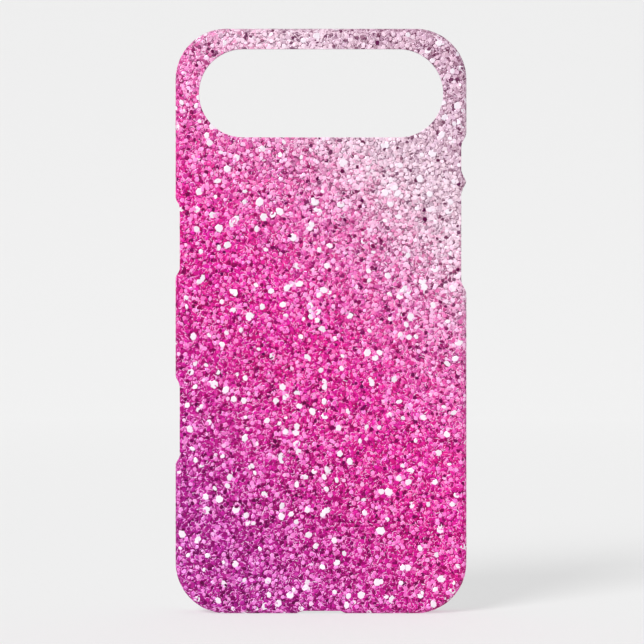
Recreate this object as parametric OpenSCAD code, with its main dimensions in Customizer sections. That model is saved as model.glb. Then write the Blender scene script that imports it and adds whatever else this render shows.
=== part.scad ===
// Hard phone case that clips onto a phone: a moulded shell with a glitter wrap bonded outside.
// The case stands on its bottom edge. Seen from behind, +X is to the right and +Z is up;
// +Y points towards the screen side. The origin is under the middle of the bottom edge.

/* [Outside] */
// Width of the finished case
case_w = 79.2; // [79:0.1:82]
// Height of the finished case
case_h = 159.2; // [159:0.1:162]
// Depth from the glitter on the back to the front lip
case_t = 7.8; // [7.6:0.1:9]
// Radius of the four outer corners, seen from behind
corner_r = 13.8; // [12:0.1:15]
// Rounding of the back edge, where the back turns into the walls
back_edge_r = 1.6; // [1:0.1:2]
// Rounding of the front lip
lip_r = 0.45; // [0.2:0.05:0.5]

/* [Phone and pocket] */
// Width of the phone that the case holds
phone_w = 74.7; // [74:0.1:75]
// Height of the phone that the case holds
phone_h = 156.2; // [155:0.1:156.3]
// Thickness of the phone at its edges
phone_t = 5.64; // [5.5:0.02:5.7]
// Gap between the phone and each wall
fit_gap = 0.1; // [0.05:0.05:0.15]
// Corner radius of the pocket
pocket_r = 11.3; // [10:0.1:12]
// Rounding where the pocket's floor meets its walls
floor_r = 0.8; // [0.4:0.1:1]

/* [Walls] */
// Thickness of the back, glitter included
back_t = 1.2; // [1.1:0.05:1.3]
// Thickness of the glitter wrap
wrap_t = 0.3; // [0.2:0.05:0.4]
// Width of the bare strip between the wrap and the front lip's end
bare_strip = 0.7; // [0.6:0.1:1.5]
// How far the front lip hooks over the phone's face
hook = 0.5; // [0.3:0.05:0.6]
// How far the lip's mouth widens, so that the phone slides in
mouth_flare = 0.3; // [0.1:0.05:0.3]

/* [Camera window] */
// Length of the window
window_w = 66.4; // [60:0.1:68]
// Height of the window, which is also the width across its round ends
window_h = 24; // [20:0.1:26]
// Distance from the top of the case to the window's centre line
window_drop = 17.7; // [16:0.1:22]

/* [Button openings] */
// How far the dips on the left cut into the side, seen from behind
left_dip_depth = 1.2; // [0.8:0.1:1.5]
// How far the dips on the right cut into the side
right_dip_depth = 1.5; // [0.8:0.1:1.5]
// Length of the S-shaped ramp at each end of a dip on the left
left_dip_ramp = 2.8; // [1.6:0.1:3.4]
// Length of the S-shaped ramp at each end of a dip on the right
right_dip_ramp = 4; // [1.6:0.1:4.2]
// Height of the side button, on the left seen from behind
side_button_z = 102.2; // [95:0.1:110]
// Length of the side button's opening
side_button_l = 16.6; // [14:0.1:20]
// Height of the camera button, on the left seen from behind
camera_button_z = 52.6; // [45:0.1:60]
// Length of the camera button's opening
camera_button_l = 18.9; // [16:0.1:22]
// Height of the action button, on the right seen from behind
action_button_z = 123.9; // [123.5:0.1:126]
// Length of the action button's opening
action_button_l = 6.2; // [5:0.1:6.5]
// Height of the volume buttons, on the right seen from behind
volume_button_z = 102.4; // [98:0.1:102.5]
// Length of the volume buttons' opening
volume_button_l = 23.3; // [20:0.1:24]

/* [Bottom openings] */
// Length of the charging port's opening
port_l = 10.3; // [9:0.1:12]
// How far the port's dip cuts into the bottom edge, seen from behind
port_dip = 0.8; // [0.4:0.1:0.9]
// Length of the S-shaped ramp at each end of the port's dip
port_ramp = 1.9; // [1:0.1:2.2]
// Distance from the middle to each sound slot's centre
sound_x = 17.5; // [16:0.1:19]
// Length of each sound slot
sound_l = 10; // [7:0.1:11]
// Height of each sound slot
sound_h = 1.8; // [1.2:0.1:2.4]

/* [Hidden] */
$fn = 96;

// Spare length that lets a cutting shape run clear of what it cuts
over = 1;
// How much longer an opening through a wall is than the flat part of its dip, at each end
opening_extra = 1;
// Depth from the back at which the openings through the walls start
opening_start = back_t + 1;
// Corner radius of those openings
opening_r = 1.5;
// Straight stretches that make up each ramp of a dip
ramp_steps = 10;

pocket_w = phone_w + 2 * fit_gap;
pocket_h = phone_h + 2 * fit_gap;
pocket_t = phone_t + fit_gap / 2;
side_wall = (case_w - pocket_w) / 2;
end_wall = (case_h - pocket_h) / 2;
shell_w = case_w - 2 * wrap_t;
shell_h = case_h - 2 * wrap_t;
shell_r = corner_r - wrap_t;
wrap_end = case_t - bare_strip;
window_z = case_h - window_drop;
sound_depth = back_t + pocket_t / 2;

// Drawn lying with its back up: x is the case's width, y is its height from the bottom edge,
// and z is minus the depth from the back. This stands it up on its bottom edge.
module stand_up() {
    translate([0, -case_t / 2, 0])
        rotate([90, 0, 0])
            children();
}

// Cross-section of an edge, from a corner's centre line out to the surface, with a rounded
// back corner and a rounded front corner. It lies between the depths back and front.
module edge_section(reach, back, front, back_r, front_r) {
    difference() {
        translate([0, -front])
            square([reach, front - back]);
        if (back_r > 0)
            translate([reach - back_r, -back - back_r])
                spandrel(back_r);
        if (front_r > 0)
            translate([reach - front_r, -front + front_r])
                mirror([0, 1])
                    spandrel(front_r);
    }
}

// What rounding a square corner to radius r takes away
module spandrel(r) {
    difference() {
        square(r + over);
        circle(r);
    }
}

// Rounded rectangle w by h, whose edge has the cross-section given as a child
module block(w, h, r, back, front) {
    run_w = w - 2 * r;
    run_h = h - 2 * r;
    translate([0, case_h / 2, 0]) {
        translate([-run_w / 2, -run_h / 2, -front])
            cube([run_w, run_h, front - back]);
        for (left = [0, 1])
            mirror([left, 0, 0])
                translate([run_w / 2, run_h / 2, 0])
                    rotate([90, 0, 0])
                        linear_extrude(run_h)
                            children();
        for (low = [0, 1])
            mirror([0, low, 0])
                translate([-run_w / 2, run_h / 2, 0])
                    rotate([90, 0, 90])
                        linear_extrude(run_w)
                            children();
        for (left = [0, 1], low = [0, 1])
            mirror([left, 0, 0])
                mirror([0, low, 0])
                    translate([run_w / 2, run_h / 2, 0])
                        rotate_extrude(angle = 90)
                            children();
    }
}

// The finished outside, as far forward as the glitter wrap goes
module wrap_outside() {
    block(case_w, case_h, corner_r, 0, wrap_end)
        edge_section(corner_r, 0, wrap_end, back_edge_r, 0);
}

// The outside of the moulded shell
module shell_outside() {
    block(shell_w, shell_h, shell_r, wrap_t, case_t)
        edge_section(shell_r, wrap_t, case_t, back_edge_r - wrap_t, lip_r);
}

// The space for the phone, with the hooked lip at its mouth
module pocket() {
    ledge = back_t + pocket_t;
    mouth_w = pocket_w - 2 * hook;
    mouth_h = pocket_h - 2 * hook;
    mouth_r = pocket_r - hook;
    flare_start = (ledge + case_t) / 2;
    block(pocket_w, pocket_h, pocket_r, back_t, ledge)
        edge_section(pocket_r, back_t, ledge, floor_r, 0);
    block(mouth_w, mouth_h, mouth_r, ledge - over, case_t + over)
        edge_section(mouth_r, ledge - over, case_t + over, 0, 0);
    block(mouth_w, mouth_h, mouth_r, flare_start, case_t)
        polygon([
            [0, -flare_start],
            [mouth_r, -flare_start],
            [mouth_r + mouth_flare, -case_t],
            [0, -case_t]
        ]);
}

// Long hole with round ends
module stadium(length, height) {
    run = length - height;
    square([run, height], center = true);
    for (end = [-1, 1])
        translate([end * run / 2, 0])
            circle(d = height);
}

// Dip in an edge: x runs along the edge, y into the case. Each end is a ramp with the shape of
// half a cosine wave, level where it leaves the edge and level where it meets the dip's bottom.
module dip(length, depth, ramp) {
    steps = [0 : 1 / ramp_steps : 1];
    right = [for (t = steps) [length / 2 + t * ramp, depth * (1 + cos(180 * t)) / 2]];
    left = [for (t = steps) [-length / 2 - (1 - t) * ramp, depth * (1 - cos(180 * t)) / 2]];
    polygon(concat(
        [[length / 2 + ramp, -over], [-length / 2 - ramp, -over]],
        left,
        right
    ));
}

// Opening through a wall, open towards the front: x runs along the wall, y is minus the depth
module opening(length) {
    round_x = length / 2 - opening_r;
    translate([-length / 2, -case_t - over])
        square([length, case_t + over - opening_start - opening_r]);
    translate([-round_x, -opening_start - opening_r - over])
        square([2 * round_x, opening_r + over]);
    for (end = [-1, 1])
        translate([end * round_x, -opening_start - opening_r])
            circle(opening_r);
}

// Cut for one button or button pair. side is 1 on the right and -1 on the left.
module button_cut(side, height, length) {
    depth = side > 0 ? right_dip_depth : left_dip_depth;
    ramp = side > 0 ? right_dip_ramp : left_dip_ramp;
    translate([side * case_w / 2, height, -case_t - over])
        linear_extrude(case_t + 2 * over)
            rotate(side * 90)
                dip(length, depth, ramp);
    translate([side * (case_w - side_wall) / 2, height, 0])
        rotate([90, 0, 90])
            linear_extrude(side_wall + 2 * over, center = true)
                opening(length + 2 * opening_extra);
}

// Cut for the charging port
module port_cut() {
    translate([0, 0, -case_t - over])
        linear_extrude(case_t + 2 * over)
            dip(port_l, port_dip, port_ramp);
    translate([0, end_wall / 2, 0])
        rotate([90, 0, 0])
            linear_extrude(end_wall + 2 * over, center = true)
                opening(port_l + 2 * opening_extra);
}

// Slots that let the loudspeaker and the microphone be heard
module sound_cuts() {
    for (side = [-1, 1])
        translate([side * sound_x, end_wall / 2, -sound_depth])
            rotate([90, 0, 0])
                linear_extrude(end_wall + 2 * over, center = true)
                    stadium(sound_l, sound_h);
}

// The window that the phone's camera bar looks out of
module window_cut() {
    translate([0, window_z, -back_t - over])
        linear_extrude(back_t + 2 * over)
            stadium(window_w, window_h);
}

// Every opening that goes through both the wrap and the shell
module cuts() {
    window_cut();
    button_cut(-1, side_button_z, side_button_l);
    button_cut(-1, camera_button_z, camera_button_l);
    button_cut(1, action_button_z, action_button_l);
    button_cut(1, volume_button_z, volume_button_l);
    port_cut();
    sound_cuts();
}

// Moulded plastic shell: back, walls and hooked front lip in one piece
module hard_shell() {
    color([0.95, 0.95, 0.96])
        stand_up()
            difference() {
                shell_outside();
                pocket();
                cuts();
            }
}

// Thin glitter layer over the back, the rounded back edge and the outside of the walls
module glitter_wrap() {
    color([0.86, 0.33, 0.62])
        stand_up()
            difference() {
                wrap_outside();
                shell_outside();
                cuts();
            }
}

hard_shell();
glitter_wrap();
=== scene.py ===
import math
import random

import bpy
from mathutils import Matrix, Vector, noise


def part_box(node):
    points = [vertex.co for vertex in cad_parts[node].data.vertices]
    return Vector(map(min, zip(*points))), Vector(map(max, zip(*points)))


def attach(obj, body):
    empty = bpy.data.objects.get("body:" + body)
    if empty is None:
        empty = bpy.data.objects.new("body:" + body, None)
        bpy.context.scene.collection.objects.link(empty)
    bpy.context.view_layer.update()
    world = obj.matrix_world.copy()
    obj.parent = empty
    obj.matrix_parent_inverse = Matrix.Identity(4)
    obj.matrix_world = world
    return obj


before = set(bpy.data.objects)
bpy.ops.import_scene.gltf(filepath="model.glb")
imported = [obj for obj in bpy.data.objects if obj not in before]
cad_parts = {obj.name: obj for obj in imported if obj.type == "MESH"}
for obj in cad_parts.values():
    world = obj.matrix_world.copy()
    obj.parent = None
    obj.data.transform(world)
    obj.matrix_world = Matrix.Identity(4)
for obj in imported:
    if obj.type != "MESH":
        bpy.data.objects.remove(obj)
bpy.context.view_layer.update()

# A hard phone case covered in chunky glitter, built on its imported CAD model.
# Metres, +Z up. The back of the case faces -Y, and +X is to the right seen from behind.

MM = 0.001
SEED = 11

# ---------------------------------------------------------------- the case, as the CAD has it

WRAP_LOW, WRAP_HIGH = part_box("glitter_wrap")
CASE_W = WRAP_HIGH.x - WRAP_LOW.x
CASE_H = WRAP_HIGH.z - WRAP_LOW.z
BACK_Y = WRAP_LOW.y
WRAP_DEPTH = WRAP_HIGH.y - WRAP_LOW.y
CORNER_R = 13.8 * MM
EDGE_R = 1.6 * MM

WINDOW_W = 66.4 * MM
WINDOW_H = 24.0 * MM
WINDOW_Z = CASE_H - 17.7 * MM

# Dips for the buttons: side (1 is right), height, length of the flat part, depth, ramp's length
BUTTON_DIPS = (
    (-1, 102.2 * MM, 16.6 * MM, 1.2 * MM, 2.8 * MM),
    (-1, 52.6 * MM, 18.9 * MM, 1.2 * MM, 2.8 * MM),
    (1, 123.9 * MM, 6.2 * MM, 1.5 * MM, 4.0 * MM),
    (1, 102.4 * MM, 23.3 * MM, 1.5 * MM, 4.0 * MM),
)
PORT_DIP_LENGTH = 10.3 * MM
PORT_DIP_DEPTH = 0.8 * MM
PORT_DIP_RAMP = 1.9 * MM
SOUND_X = 17.5 * MM
SOUND_L = 10.0 * MM
SOUND_H = 1.8 * MM
SOUND_DEPTH = 4.03 * MM

# ---------------------------------------------------------------- the glitter

FLAKE_SPACING = 0.94 * MM
SLIVER_SPACING = 0.95 * MM
FLAKE_THICK = 0.06 * MM
# Width of each flake's bevelled rim, whose faces carry painted highlight and painted shadow
RIM_W = 0.18 * MM
FLAKE_HEIGHT = (0.04 * MM, 0.16 * MM)
FLAKE_TILT = 0.11
# Round the edge and on the walls the flakes lie this much flatter
EDGE_CALM = 0.25
STRIPS = 12

# Tones on the scale from 0, an almost black plum, to 1, white
TONE_DARK, TONE_MIDDLE, TONE_LIGHT = 0.2, 0.5, 0.8


class Kind:
    """A kind of flake. Its radius, and its width as a share of its length, each have a range."""

    def __init__(self, share, patchiness, radius, squash, lift, tone, tone_spread):
        self.share = share
        self.patchiness = patchiness
        self.radius = radius
        self.squash = squash
        self.lift = lift
        self.tone = tone
        self.tone_spread = tone_spread


# Share, how much that grows in light patches, radius, squash, how far it lies above the plain
# flakes, middle tone and how much that varies
SPARKLE = Kind(0.021, 4.0, (0.70 * MM, 1.28 * MM), (0.65, 1.0), 0.14 * MM, 1.0, 0.0)
LIGHT = Kind(0.155, 1.5, (0.54 * MM, 0.78 * MM), (0.85, 1.0), 0.10 * MM, 0.73, 0.07)
DARK = Kind(0.07, -1.5, (0.54 * MM, 0.72 * MM), (0.85, 1.0), 0.10 * MM, 0.07, 0.04)
PLAIN = Kind(1.0, 0.0, (0.56 * MM, 0.88 * MM), (0.7, 1.0), 0.0, 0.42, 0.12)
PALE_SLIVER = Kind(0.66, 0.0, (0.50 * MM, 0.85 * MM), (0.14, 0.30), 0.03 * MM, 0.82, 0.05)
DARK_SLIVER = Kind(1.0, 0.0, (0.50 * MM, 0.85 * MM), (0.14, 0.30), 0.03 * MM, 0.14, 0.06)
FLAKE_KINDS = (SPARKLE, LIGHT, DARK, PLAIN)
SLIVER_KINDS = (PALE_SLIVER, DARK_SLIVER)
PATCH = 2.4 * MM

# The colours change leftwards and downwards, from the pale top right corner, in these shares
GRADIENT_LEFT = 0.72
GRADIENT_DOWN = 0.69
GRADIENT_LONGEST = GRADIENT_LEFT * CASE_W + GRADIENT_DOWN * CASE_H
# How far down the gradient each stop lies, and its dark, middle and light colours (sRGB)
GRADIENT = (
    (0.10, (148, 102, 126), (220, 182, 204), (240, 208, 226)),
    (0.24, (174, 138, 158), (246, 216, 232), (253, 228, 242)),
    (0.37, (172, 44, 120), (238, 120, 190), (255, 196, 234)),
    (0.51, (184, 4, 110), (234, 38, 160), (255, 140, 216)),
    (0.63, (166, 2, 98), (226, 32, 150), (255, 144, 218)),
    (0.86, (132, 4, 98), (186, 38, 150), (250, 150, 230)),
)
PLUM = (92, 6, 68)
WHITE = (242, 230, 241)


def linear(value):
    """A 0 to 255 sRGB value as linear light."""
    value /= 255
    return value / 12.92 if value <= 0.04045 else ((value + 0.055) / 1.055) ** 2.4


def rgba(colour):
    """An sRGB colour, 0 to 255, for a shader's socket."""
    return (*[linear(c) for c in colour], 1)


def mix(a, b, share):
    """The point or colour that lies a share of the way from a to b."""
    return tuple(p + (q - p) * share for p, q in zip(a, b))


def pattern_frame(x, z):
    """At a point of the flat pattern: the way out, how far past the flat back it is, and its stretch.

    The flat pattern is the outside, unfolded round its edges. The stretch is how much longer
    the pattern is along the edge there than the case is.
    """
    run_x = CASE_W / 2 - CORNER_R
    run_z = CASE_H / 2 - CORNER_R
    z -= CASE_H / 2
    off_x = x - max(-run_x, min(run_x, x))
    off_z = z - max(-run_z, min(run_z, z))
    distance = math.hypot(off_x, off_z)
    past = distance - (CORNER_R - EDGE_R)
    if past <= 0:
        return (1.0, 0.0), past, 1.0
    turn = min(past / EDGE_R, math.pi / 2)
    radius = CORNER_R - EDGE_R + EDGE_R * math.sin(turn)
    in_corner = off_x != 0 and off_z != 0
    return (off_x / distance, off_z / distance), past, distance / radius if in_corner else 1.0


def fold(x, z):
    """A point of the flat pattern laid on the case: its place, and the surface's normal there."""
    (out_x, out_z), past, stretch = pattern_frame(x, z)
    if past <= 0:
        return Vector((x, BACK_Y, z)), Vector((0, -1, 0))
    turn = min(past / EDGE_R, math.pi / 2)
    inward = past - EDGE_R * math.sin(turn)
    depth = EDGE_R * (1 - math.cos(turn)) + max(0.0, past - EDGE_R * math.pi / 2)
    place = Vector((x - out_x * inward, BACK_Y + depth, z - out_z * inward))
    return place, Vector((out_x * math.sin(turn), -math.cos(turn), out_z * math.sin(turn)))


def dip_depth(along, length, depth, ramp):
    """How deep a dip cuts at a distance from its middle: flat, then half a cosine wave at each end."""
    past = (abs(along) - length / 2) / ramp
    if past >= 1:
        return 0.0
    return depth if past <= 0 else depth * (1 + math.cos(math.pi * past)) / 2


def dip_gap(inset, along, length, depth, ramp):
    """How far a point lies from a dip's cut, below zero inside the cut."""
    cut = dip_depth(along, length, depth, ramp)
    return inset - cut if cut > 0 else max(inset, abs(along) - length / 2 - ramp)


def stadium_gap(along, across, length, height):
    """How far a point lies outside a long hole with round ends, below zero inside it."""
    past = max(0.0, abs(along) - (length - height) / 2)
    return math.hypot(past, across) - height / 2


def gap(p):
    """How far a point on the outside lies from the nearest cut in the wrap, below zero inside one."""
    gaps = [
        stadium_gap(p.x, p.z - WINDOW_Z, WINDOW_W, WINDOW_H),
        WRAP_HIGH.y - p.y,
        dip_gap(p.z, p.x, PORT_DIP_LENGTH, PORT_DIP_DEPTH, PORT_DIP_RAMP),
    ]
    for side, z, length, depth, ramp in BUTTON_DIPS:
        gaps.append(dip_gap(CASE_W / 2 - side * p.x, p.z - z, length, depth, ramp))
    if p.z < SOUND_H:
        depth = p.y - BACK_Y - SOUND_DEPTH
        gaps.append(stadium_gap(abs(p.x) - SOUND_X, depth, SOUND_L, SOUND_H))
    return min(gaps)


def trimmed(outline):
    """The part of a flake's outline, in the flat pattern, that no opening cuts away."""
    gaps = [gap(fold(*point)[0]) for point in outline]
    if min(gaps) >= 0:
        return outline
    kept = []
    for i, here in enumerate(outline):
        before, gap_before, gap_here = outline[i - 1], gaps[i - 1], gaps[i]
        if (gap_before < 0) != (gap_here < 0):
            kept.append(mix(before, here, gap_before / (gap_before - gap_here)))
        if gap_here >= 0:
            kept.append(here)
    return kept


def area(outline):
    """The area of an outline that runs anticlockwise."""
    return 0.5 * sum(
        a[0] * b[1] - b[0] * a[1] for a, b in zip(outline, outline[1:] + outline[:1])
    )


def flake_outline(rng, x, z, corners, radius, squash):
    """An uneven flake with so many corners, a little squashed, in the flat pattern."""
    (out_x, out_z), past, stretch = pattern_frame(x, z)
    start = rng.uniform(0, math.pi / 3)
    lean = rng.uniform(0, math.pi)
    outline = []
    for corner in range(corners):
        turn = start + corner * math.tau / corners
        reach = radius * rng.uniform(0.86, 1.1)
        a = reach * math.cos(turn - lean)
        b = reach * math.sin(turn - lean) * squash
        along = (a * math.cos(lean) - b * math.sin(lean)) * stretch
        out = a * math.sin(lean) + b * math.cos(lean)
        outline.append((x + out_x * out + out_z * along, z + out_z * out - out_x * along))
    return outline


class FlakeMesh:
    """Collects flakes as thin closed solids, with a tone for each face; the rim faces carry painted
    highlight on one side and painted shadow on the other.
    """

    def __init__(self):
        self.points = []
        self.faces = []
        self.tones = []

    def add(self, outline, height, tilt, tone, painted_rim_tones):
        count = len(outline)
        middle = (sum(p[0] for p in outline) / count, sum(p[1] for p in outline) / count)
        size = max(math.dist(p, middle) for p in outline)
        inset = min(0.4, RIM_W / size)
        first = len(self.points)
        for shrink, drop in ((inset, 0.0), (0.0, FLAKE_THICK)):
            for p in outline:
                p = mix(p, middle, shrink)
                rise = (p[0] - middle[0]) * tilt[0] + (p[1] - middle[1]) * tilt[1]
                place, normal = fold(*p)
                self.points.append(place + normal * (height + rise - drop))
        inner = list(range(first, first + count))
        outer = list(range(first + count, first + 2 * count))
        self.faces += [inner, outer[::-1]]
        self.tones += [tone, tone]
        for i in range(count):
            j = (i + 1) % count
            self.faces.append((inner[i], outer[i], outer[j], inner[j]))
            # Each rim face gets painted highlight, painted shadow or the flake's own tone
            self.tones.append(painted_rim_tones(outline[i], outline[j], middle))

    def build(self, name, material):
        mesh = bpy.data.meshes.new(name)
        mesh.from_pydata(self.points, [], self.faces)
        tones = mesh.attributes.new("tone", "FLOAT", "FACE")
        tones.data.foreach_set("value", self.tones)
        mesh.materials.append(material)
        mesh.update()
        piece = bpy.data.objects.new(name, mesh)
        bpy.context.scene.collection.objects.link(piece)
        return piece


def pick_kind(rng, kinds, x, z):
    """One of these kinds, tried in turn. Light and dark flakes gather in loose patches."""
    patch = noise.noise(Vector((x, z, 0)) / PATCH)
    for kind in kinds[:-1]:
        if rng.random() < kind.share * max(0.1, 1 + kind.patchiness * patch):
            return kind
    return kinds[-1]


def paint_rim_light_and_shade(rng, tone):
    """Says how light each edge of a flake is: a painted highlight on the side towards the lamp, up and
    to the left, and painted shadow opposite; the flake's real tilt plays no part.
    """
    # The side towards the lamp, mostly up and to the left: its rim edges get painted highlight
    lamp_side = rng.gauss(math.radians(130), math.radians(50))
    # Painted highlight tone for the lamp side, painted shadow tone for the side opposite
    light = max(tone, min(0.86, tone + rng.choice((0.0, 0.2, 0.35, 0.5))))
    dark = max(0.0, tone - rng.choice((0.0, 0.15, 0.3, 0.5)))

    def tone_of(a, b, middle):
        edge = math.atan2((a[1] + b[1]) / 2 - middle[1], (a[0] + b[0]) / 2 - middle[0])
        facing = math.cos(edge - lamp_side)
        if facing > 0.3:
            return light
        return dark if facing < -0.1 else tone

    return tone_of


def scatter(rng, spacing):
    """Places all over the flat pattern: rows of them, each moved at random."""
    reach = EDGE_R * math.pi / 2 + WRAP_DEPTH - EDGE_R
    half_w = CASE_W / 2 - EDGE_R + reach
    half_h = CASE_H / 2 - EDGE_R + reach
    row_step = spacing * math.sqrt(3) / 2
    places = []
    for row in range(int(2 * half_h / row_step) + 1):
        for column in range(int(2 * half_w / spacing) + 1):
            x = -half_w + (column + row % 2 / 2) * spacing
            z = CASE_H / 2 - half_h + row * row_step
            x += rng.uniform(-0.5, 0.5) * spacing
            z += rng.uniform(-0.5, 0.5) * spacing
            way_out, past, stretch = pattern_frame(x, z)
            if past < reach and rng.random() < 1 / stretch:
                places.append((x, z))
    return places


def add_layer(rng, strips, spacing, kinds, corners):
    """Adds one layer of flakes of these kinds to the strips."""
    for x, z in scatter(rng, spacing):
        kind = pick_kind(rng, kinds, x, z)
        radius = rng.uniform(*kind.radius)
        outline = flake_outline(rng, x, z, corners, radius, rng.uniform(*kind.squash))
        tone = max(0.0, min(1.0, rng.gauss(kind.tone, kind.tone_spread)))
        # How light each rim edge is painted: painted highlight towards the lamp, painted shadow
        # opposite
        rim_light_and_shade = paint_rim_light_and_shade(rng, tone)
        way_out, past, stretch = pattern_frame(x, z)
        calm = EDGE_CALM if past > 0 else 1.0
        height = (rng.uniform(*FLAKE_HEIGHT) + kind.lift) * calm
        tilt = (rng.gauss(0, FLAKE_TILT * calm), rng.gauss(0, FLAKE_TILT * calm))
        whole = area(outline)
        outline = trimmed(outline)
        if len(outline) < 3 or area(outline) < 0.15 * whole:
            continue
        strip = int((fold(x, z)[0].x / CASE_W + 0.5) * STRIPS)
        strips[max(0, min(STRIPS - 1, strip))].add(outline, height, tilt, tone, rim_light_and_shade)


def make_flakes(material):
    """Thousands of flakes over the wrap, in upright strips so that no piece is too heavy."""
    rng = random.Random(SEED)
    strips = [FlakeMesh() for strip in range(STRIPS)]
    add_layer(rng, strips, FLAKE_SPACING, FLAKE_KINDS, 6)
    add_layer(rng, strips, SLIVER_SPACING, SLIVER_KINDS, 4)
    for number, strip in enumerate(strips):
        piece = strip.build(f"glitter_flakes_{number + 1:02d}", material)
        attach(piece, "root")


# ---------------------------------------------------------------- materials

# The ejector pins' marks inside the shell
PIN_X = 22 * MM
PIN_Z = 22 * MM
PIN_STEP = 32 * MM
PIN_R = 2.5 * MM
PIN_LINE = 0.12 * MM


def new_material(name):
    """A material, its node tree and its Principled shader."""
    material = bpy.data.materials.new(name)
    material.use_nodes = True
    return material, material.node_tree, material.node_tree.nodes["Principled BSDF"]


def wire(tree, socket, value):
    """Sets a socket to a value, or links it to another node's output."""
    if isinstance(value, bpy.types.NodeSocket):
        tree.links.new(value, socket)
    else:
        socket.default_value = value


def add_node(tree, kind, inputs=None, **settings):
    """Adds a shader node with its settings and its inputs, which go by name or number."""
    node = tree.nodes.new("ShaderNode" + kind)
    for key, value in settings.items():
        setattr(node, key, value)
    for key, value in (inputs or {}).items():
        wire(tree, node.inputs[key], value)
    return node


def calculate(tree, operation, *values):
    """The output of a Math node."""
    return add_node(tree, "Math", dict(enumerate(values)), operation=operation).outputs[0]


def rescale(tree, value, low, high, new_low=0.0, new_high=1.0):
    """Maps a value from one range to another and keeps it inside."""
    inputs = {0: value, 1: low, 2: high, 3: new_low, 4: new_high}
    return add_node(tree, "MapRange", inputs).outputs[0]


def blend(tree, share, a, b):
    """The colour that lies a share of the way from a to b."""
    node = add_node(tree, "Mix", data_type="RGBA")
    wire(tree, node.inputs[0], share)
    wire(tree, node.inputs[6], a)
    wire(tree, node.inputs[7], b)
    return node.outputs[2]


def place_on_case(tree):
    """A point's place in the frame, in metres."""
    return add_node(tree, "TexCoord").outputs["Object"]


def down_gradient(tree, place, spread):
    """0 at the pale top right corner, 1 at the purple bottom left corner, moved by spread."""
    slope = (-GRADIENT_LEFT / GRADIENT_LONGEST, 0, -GRADIENT_DOWN / GRADIENT_LONGEST)
    start = (GRADIENT_LEFT * CASE_W / 2 + GRADIENT_DOWN * CASE_H) / GRADIENT_LONGEST
    node = add_node(tree, "VectorMath", {0: place, 1: slope}, operation="DOT_PRODUCT")
    moved = calculate(tree, "MULTIPLY_ADD", spread, 0.08, start - 0.04)
    return calculate(tree, "ADD", node.outputs["Value"], moved)


def gradient_ramp(tree, down, which):
    """The dark, middle or light colour (which is 1, 2 or 3) down the gradient."""
    ramp = add_node(tree, "ValToRGB", {0: down})
    elements = ramp.color_ramp.elements
    elements[0].position, elements[1].position = GRADIENT[0][0], GRADIENT[-1][0]
    elements[0].color, elements[1].color = rgba(GRADIENT[0][which]), rgba(GRADIENT[-1][which])
    for stop in GRADIENT[1:-1]:
        elements.new(stop[0]).color = rgba(stop[which])
    return ramp.outputs["Color"]


def foil_colour(tree, down, tone):
    """The colour of a flake of a tone, 0 to 1, at a place down the gradient."""
    dark, middle, light = (gradient_ramp(tree, down, which) for which in (1, 2, 3))
    colour = blend(tree, rescale(tree, tone, 0, TONE_DARK), rgba(PLUM), dark)
    colour = blend(tree, rescale(tree, tone, TONE_DARK, TONE_MIDDLE), colour, middle)
    colour = blend(tree, rescale(tree, tone, TONE_MIDDLE, TONE_LIGHT), colour, light)
    return blend(tree, rescale(tree, tone, TONE_LIGHT, 1), colour, rgba(WHITE))


def glitter_foil():
    """The flakes: coloured foil, each flake with a shade and a polish of its own."""
    material, tree, shader = new_material("glitter_foil")
    own = add_node(tree, "NewGeometry").outputs["Random Per Island"]
    # Each face's tone: the flake's own tone, or on its rim painted highlight or painted shadow
    tone = add_node(tree, "Attribute", attribute_name="tone").outputs["Fac"]
    down = down_gradient(tree, place_on_case(tree), own)
    hue = {"Hue": rescale(tree, own, 0, 1, 0.486, 0.510), "Color": foil_colour(tree, down, tone)}
    wire(tree, shader.inputs["Base Color"], add_node(tree, "HueSaturation", hue).outputs[0])
    wire(tree, shader.inputs["Roughness"], rescale(tree, own, 0, 1, 0.25, 0.5))
    shader.inputs["Metallic"].default_value = 0.2
    shader.inputs["Specular IOR Level"].default_value = 0.1
    return material


def glitter_bed_painted_shade():
    """The wrap under the flakes: fine glitter grains set in clear glue, kept dark as painted shade in
    the gaps between the flakes.
    """
    material, tree, shader = new_material("glitter_bed_painted_shade")
    place = place_on_case(tree)
    grains = add_node(tree, "TexVoronoi", {"Vector": place, "Scale": 1 / (0.7 * MM)})
    own = add_node(tree, "SeparateColor", {0: grains.outputs["Color"]}).outputs[0]
    # Only low tones: painted shade in the gaps between the flakes
    tone = rescale(tree, own, 0, 1, 0.05, 0.5)
    wire(tree, shader.inputs["Base Color"], foil_colour(tree, down_gradient(tree, place, own), tone))
    wire(tree, shader.inputs["Roughness"], rescale(tree, own, 0, 1, 0.25, 0.5))
    bump = {"Height": grains.outputs["Distance"], "Distance": 0.08 * MM, "Strength": 0.6}
    wire(tree, shader.inputs["Normal"], add_node(tree, "Bump", bump, invert=True).outputs[0])
    shader.inputs["Specular IOR Level"].default_value = 0.2
    return material


def pin_marks(tree, place):
    """1 on the thin rings that the mould's round ejector pins leave, in two upright rows, else 0."""
    axes = add_node(tree, "SeparateXYZ", {0: place}).outputs
    across = calculate(tree, "SUBTRACT", calculate(tree, "ABSOLUTE", axes[0]), PIN_X)
    step = calculate(tree, "WRAP", axes[2], PIN_Z + PIN_STEP / 2, PIN_Z - PIN_STEP / 2)
    along = calculate(tree, "SUBTRACT", step, PIN_Z)
    squares = calculate(tree, "MULTIPLY_ADD", across, across, calculate(tree, "POWER", along, 2))
    off_ring = calculate(tree, "SUBTRACT", calculate(tree, "SQRT", squares), PIN_R)
    return rescale(tree, calculate(tree, "ABSOLUTE", off_ring), 0, PIN_LINE, 1, 0)


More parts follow.
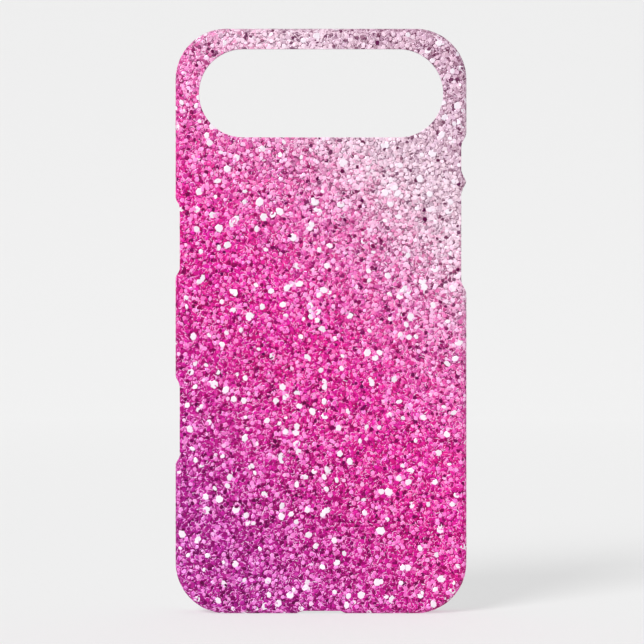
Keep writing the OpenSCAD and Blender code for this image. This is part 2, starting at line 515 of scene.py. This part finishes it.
def moulded_plastic():
    """The shell: white satin polycarbonate with the fine texture that a steel mould leaves."""
    material, tree, shader = new_material("moulded_plastic")
    place = place_on_case(tree)
    flow = add_node(tree, "TexNoise", {"Vector": place, "Scale": 1 / (25 * MM), "Detail": 2.0})
    grain = add_node(tree, "TexNoise", {"Vector": place, "Scale": 1 / (0.35 * MM), "Detail": 2.0})
    cloud = rescale(tree, flow.outputs[0], 0.3, 0.7)
    colour = blend(tree, cloud, rgba((240, 240, 242)), rgba((238, 237, 240)))
    wire(tree, shader.inputs["Base Color"], colour)
    wire(tree, shader.inputs["Roughness"], rescale(tree, grain.outputs[0], 0.3, 0.7, 0.38, 0.52))
    fine = {"Height": grain.outputs[0], "Distance": 0.02 * MM, "Strength": 0.5}
    texture = add_node(tree, "Bump", fine).outputs[0]
    rings = {"Height": pin_marks(tree, place), "Distance": 0.04 * MM, "Normal": texture}
    wire(tree, shader.inputs["Normal"], add_node(tree, "Bump", rings, invert=True).outputs[0])
    return material


def dress(node, material):
    """Gives a carried-over CAD part a new material."""
    for slot in bpy.data.objects[node].material_slots:
        slot.material = material


# ---------------------------------------------------------------- stage

SKY = 0.5
LAMP_STRENGTH = 2.1
TO_LAMP = Vector((-0.8, -1.0, 1.0)).normalized()
PAPER_ALBEDO = 0.38
PAPER_GLOW = 0.648
# How much of its glow the paper gives up where it faces the lamp, and where it stands upright and
# is lit by the floor, so that it comes out equally bright all over
GLOW_LESS_LAMP = PAPER_ALBEDO * LAMP_STRENGTH / math.pi
GLOW_LESS_WALL = 0.06


def make_world():
    """Even white light from all round."""
    world = bpy.data.worlds.new("studio")
    bpy.context.scene.world = world
    world.use_nodes = True
    background = world.node_tree.nodes["Background"]
    background.inputs["Color"].default_value = (1, 1, 1, 1)
    background.inputs["Strength"].default_value = SKY


def backdrop_paper():
    """Matt paper with a faint glow."""
    material, tree, shader = new_material("backdrop_paper")
    normal = add_node(tree, "NewGeometry").outputs["Normal"]
    facing = add_node(tree, "VectorMath", {0: normal, 1: TO_LAMP}, operation="DOT_PRODUCT")
    lit = calculate(tree, "MAXIMUM", facing.outputs["Value"], 0.0)
    level = add_node(tree, "SeparateXYZ", {0: normal}).outputs[2]
    glow = calculate(tree, "MULTIPLY_ADD", level, GLOW_LESS_WALL, PAPER_GLOW - GLOW_LESS_WALL)
    glow = calculate(tree, "MULTIPLY_ADD", lit, -GLOW_LESS_LAMP, glow)
    wire(tree, shader.inputs["Emission Strength"], glow)
    shader.inputs["Emission Color"].default_value = (1, 1, 1, 1)
    shader.inputs["Base Color"].default_value = (PAPER_ALBEDO, PAPER_ALBEDO, PAPER_ALBEDO, 1)
    shader.inputs["Roughness"].default_value = 1.0
    shader.inputs["Specular IOR Level"].default_value = 0.0
    return material


def make_backdrop():
    """A round floor that sweeps up all round it, so that no line shows behind the case."""
    floor_r, bend_r, rim_z, sides, steps = 1.1, 0.5, 0.75, 96, 16
    profile = [
        (floor_r + bend_r * math.sin(turn), bend_r - bend_r * math.cos(turn))
        for turn in (math.pi / 2 * step / steps for step in range(steps + 1))
    ]
    profile.append((floor_r + bend_r, rim_z))
    around = [math.tau * side / sides for side in range(sides)]
    points = [(r * math.cos(a), r * math.sin(a), z) for r, z in profile for a in around]
    faces = [list(range(sides))]
    for ring in range(len(profile) - 1):
        for side in range(sides):
            near, far = ring * sides + side, ring * sides + (side + 1) % sides
            faces.append((near, near + sides, far + sides, far))
    mesh = bpy.data.meshes.new("backdrop")
    mesh.from_pydata(points, [], faces)
    mesh.polygons.foreach_set("use_smooth", [False] + [True] * (len(faces) - 1))
    mesh.materials.append(backdrop_paper())
    backdrop = bpy.data.objects.new("backdrop", mesh)
    bpy.context.scene.collection.objects.link(backdrop)


def make_key_light():
    """Soft light from the upper left, in front of the case."""
    light = bpy.data.lights.new("key", "SUN")
    light.energy = LAMP_STRENGTH
    light.angle = math.radians(25)
    lamp = bpy.data.objects.new("key", light)
    lamp.rotation_mode = "QUATERNION"
    lamp.rotation_quaternion = TO_LAMP.to_track_quat("Z", "Y")
    bpy.context.scene.collection.objects.link(lamp)


def make_camera():
    """Level and straight behind the case, which fills nine tenths of the picture's height."""
    lens, sensor = 110.0, 36.0
    # How far the case stands to the left of the picture's middle, and above it
    off_middle = 0.27 * MM
    frame_height = CASE_H / 0.907
    distance = frame_height / (sensor / lens)
    camera = bpy.data.cameras.new("camera")
    camera.lens = lens
    camera.sensor_width = sensor
    viewer = bpy.data.objects.new("camera", camera)
    viewer.location = (off_middle, BACK_Y + EDGE_R - distance, CASE_H / 2 - off_middle)
    viewer.rotation_euler = (math.pi / 2, 0, 0)
    bpy.context.scene.collection.objects.link(viewer)
    bpy.context.scene.camera = viewer


def plain_view():
    """Colours come out as the materials state them."""
    bpy.context.scene.view_settings.view_transform = "Standard"


make_camera()
plain_view()
make_world()
make_backdrop()
make_key_light()
dress("hard_shell", moulded_plastic())
dress("glitter_wrap", glitter_bed_painted_shade())
make_flakes(glitter_foil())
